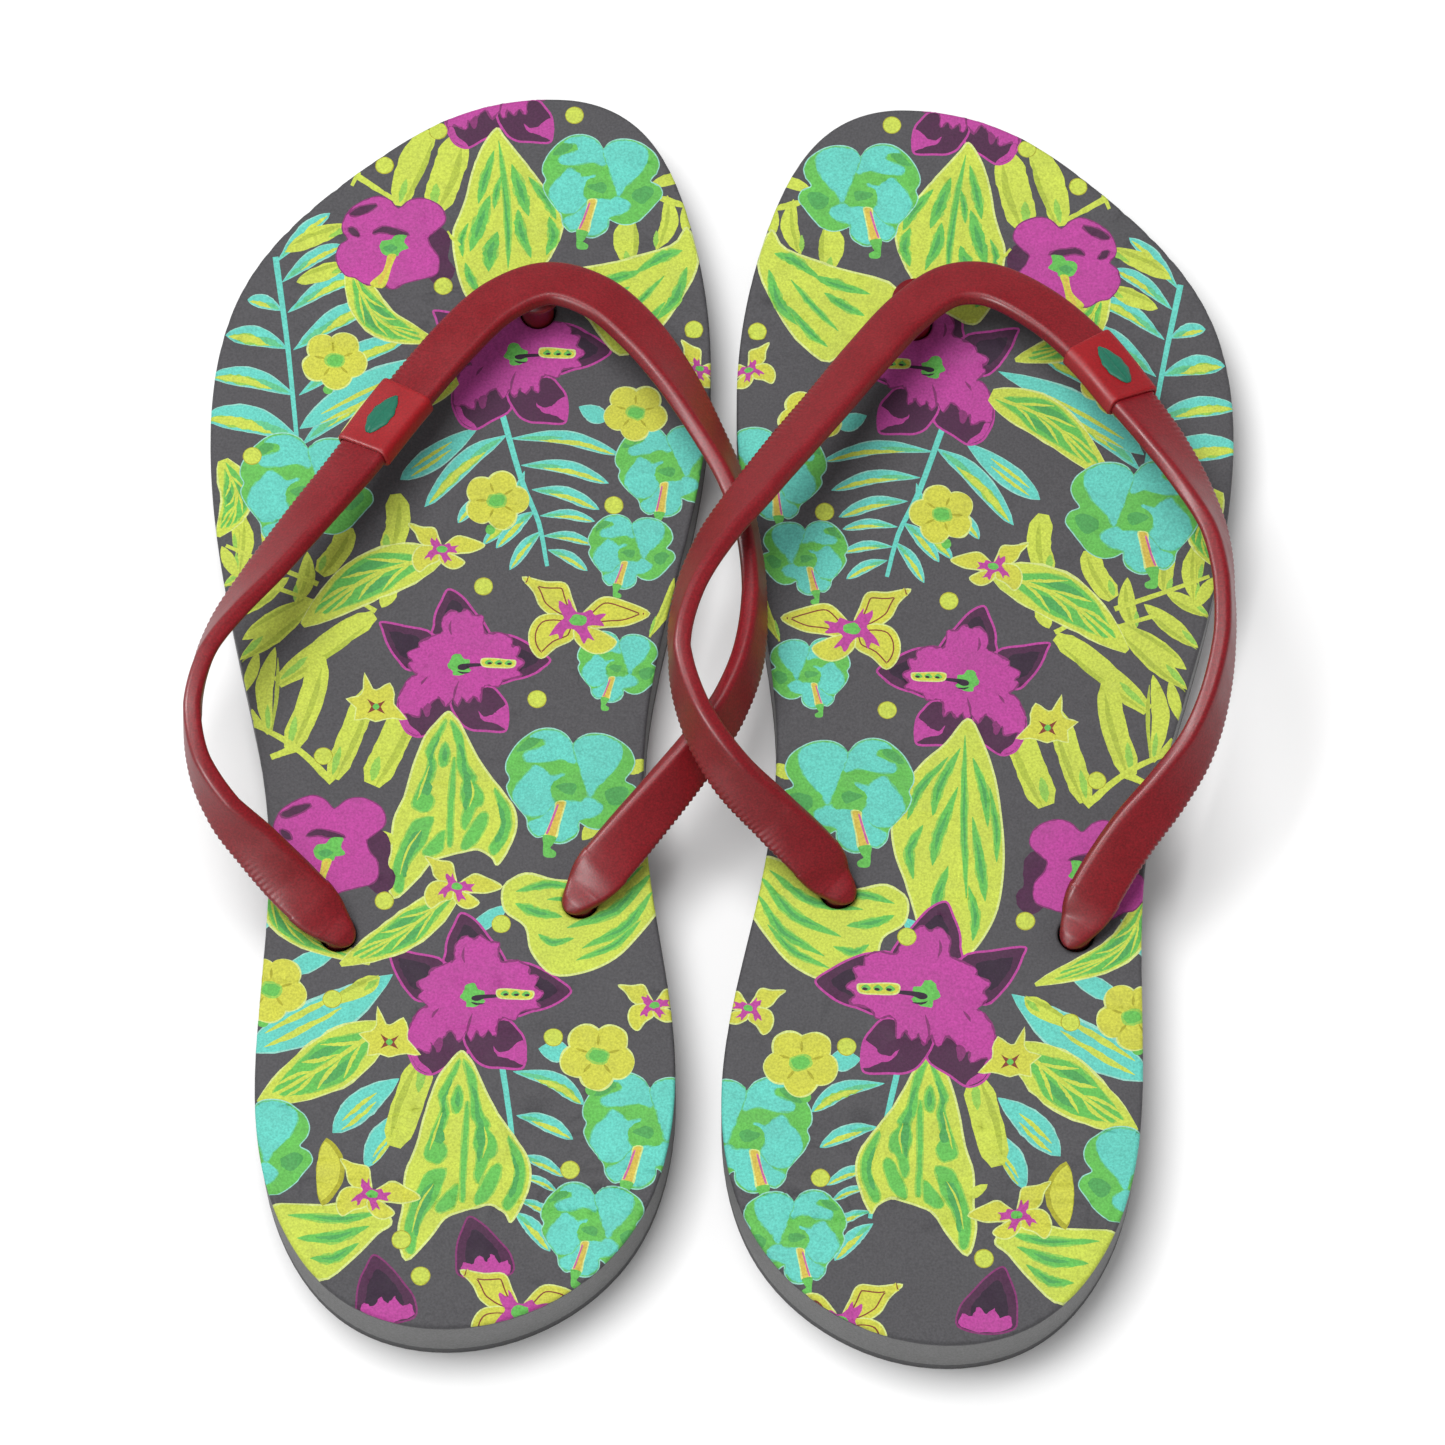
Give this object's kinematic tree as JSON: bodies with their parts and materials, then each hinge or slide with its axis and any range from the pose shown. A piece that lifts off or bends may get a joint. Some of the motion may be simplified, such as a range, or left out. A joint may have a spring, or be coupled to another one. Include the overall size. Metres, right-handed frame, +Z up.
{
  "type": "pair of thong sandals",
  "caption": "Pair of flat foam thong sandals with printed tops, narrow moulded straps held by plugs under the sole, and a leaf badge on each outer leg.",
  "frame": {"origin": "on the floor, midway between the two sandals and halfway along them", "axes": "+Y along the sandals towards the toes, +Z up from the floor, +X towards the right sandal's outer side"},
  "size_m": [0.1988, 0.2513, 0.0499],
  "materials": {
    "tread_rubber": "matt",
    "foam": "matt foam",
    "printed_sheet": "matt, printed with flowers and leaves",
    "strap": "satin",
    "band": "satin",
    "leaf": "satin"
  },
  "bodies": {
    "left_sandal": {"left_tread": "tread_rubber", "left_core": "foam", "left_footbed": "printed_sheet", "left_strap": "strap", "left_badge_band": "band", "left_badge_leaf": "leaf"},
    "right_sandal": {"right_tread": "tread_rubber", "right_core": "foam", "right_footbed": "printed_sheet", "right_strap": "strap", "right_badge_band": "band", "right_badge_leaf": "leaf"}
  },
  "joints": [
    {"name": "right_sandal_slide", "type": "slide", "parent": "left_sandal", "child": "right_sandal", "axis": [1, 0, 0], "range_m": [0, 0.1]}
  ]
}
